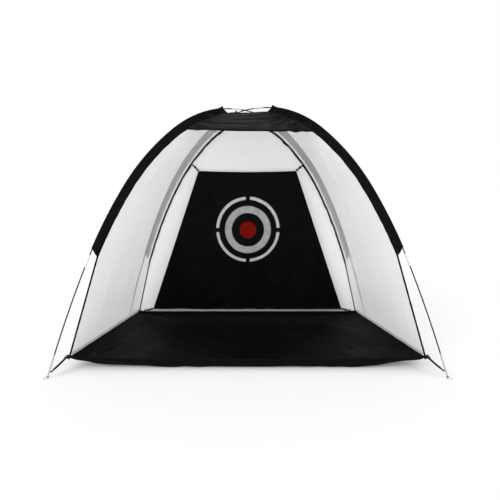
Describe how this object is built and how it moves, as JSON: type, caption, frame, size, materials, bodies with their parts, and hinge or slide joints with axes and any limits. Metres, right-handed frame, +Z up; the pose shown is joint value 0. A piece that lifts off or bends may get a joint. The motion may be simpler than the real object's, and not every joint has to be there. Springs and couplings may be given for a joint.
{
  "type": "golf chipping net",
  "caption": "Dome-tent style golf practice net: crossed fibreglass poles, open front under a visor, net walls, black floor and a hanging target sheet.",
  "frame": {"origin": "middle of the four feet, on the ground", "axes": "+Z up, +X to the right of someone facing the opening, +Y from the open front to the rear net"},
  "size_m": [3.0223, 1.8038, 2.0731],
  "materials": {
    "fibreglass": "smooth dark fibreglass rod",
    "steel": "bright steel tube",
    "dark_steel": "dark steel",
    "elastic": "braided elastic cord",
    "webbing": "black woven webbing",
    "floor_cloth": "black coated polyester",
    "sleeve_cloth": "black woven polyester",
    "visor_cloth": "dark grey woven polyester",
    "net": "fine white knitted mesh",
    "tape": "white woven tape",
    "target_cloth": "black sheet with printed rings",
    "clip_plastic": "black moulded plastic"
  },
  "bodies": {
    "tent": {"pole_a_1": "fibreglass", "pole_a_2": "fibreglass", "pole_a_3": "fibreglass", "pole_a_4": "fibreglass", "pole_a_5": "fibreglass", "pole_a_6": "fibreglass", "pole_a_7": "fibreglass", "pole_a_8": "fibreglass", "pole_b_1": "fibreglass", "pole_b_2": "fibreglass", "pole_b_3": "fibreglass", "pole_b_4": "fibreglass", "pole_b_5": "fibreglass", "pole_b_6": "fibreglass", "pole_b_7": "fibreglass", "pole_b_8": "fibreglass", "pole_a_ferrules": "steel", "pole_b_ferrules": "steel", "shock_cord_a": "elastic", "shock_cord_b": "elastic", "pole_tip_front_left": "steel", "pole_tip_front_right": "steel", "pole_tip_rear_left": "steel", "pole_tip_rear_right": "steel", "foot_pins": "dark_steel", "strap_rings": "steel", "strap_front_left": "webbing", "strap_front_right": "webbing", "strap_rear_left": "webbing", "strap_rear_right": "webbing", "corner_patches": "webbing", "floor_sheet": "floor_cloth", "floor_edge_band": "floor_cloth", "front_skirt": "floor_cloth", "net_left": "net", "net_right": "net", "net_rear": "net", "net_hems": "tape", "edge_front_left": "webbing", "edge_front_right": "webbing", "seam_rear_left": "webbing", "seam_rear_right": "webbing", "sleeve_front_left": "sleeve_cloth", "sleeve_front_right": "sleeve_cloth", "sleeve_rear_left": "sleeve_cloth", "sleeve_rear_right": "sleeve_cloth", "visor": "visor_cloth", "visor_hem": "visor_cloth", "target_ties": "elastic"},
    "target": {"target_sheet": "target_cloth", "target_clips": "clip_plastic"},
    "peg_ring_front_left": {"peg_ring_front_left": "steel"},
    "peg_ring_front_right": {"peg_ring_front_right": "steel"},
    "peg_ring_rear_left": {"peg_ring_rear_left": "steel"},
    "peg_ring_rear_right": {"peg_ring_rear_right": "steel"}
  },
  "joints": [
    {"name": "target_swing", "type": "hinge", "parent": "tent", "child": "target", "pos_m": [0, 0.385, 1.54], "axis": [-1, 0, 0], "range_deg": [0, 60]},
    {"name": "peg_ring_front_left_swing", "type": "hinge", "parent": "tent", "child": "peg_ring_front_left", "pos_m": [-1.47856, -0.87409, 0.009], "axis": [-0.5348, 0.845, 0], "range_deg": [0, 105]},
    {"name": "peg_ring_front_right_swing", "type": "hinge", "parent": "tent", "child": "peg_ring_front_right", "pos_m": [1.48144, -0.87591, 0.009], "axis": [-0.5348, -0.845, 0], "range_deg": [0, 105]},
    {"name": "peg_ring_rear_left_swing", "type": "hinge", "parent": "tent", "child": "peg_ring_rear_left", "pos_m": [-1.28644, 0.87591, 0.009], "axis": [0.5348, 0.845, 0], "range_deg": [0, 105]},
    {"name": "peg_ring_rear_right_swing", "type": "hinge", "parent": "tent", "child": "peg_ring_rear_right", "pos_m": [1.28356, 0.87409, 0.009], "axis": [0.5348, -0.845, 0], "range_deg": [0, 105]}
  ]
}
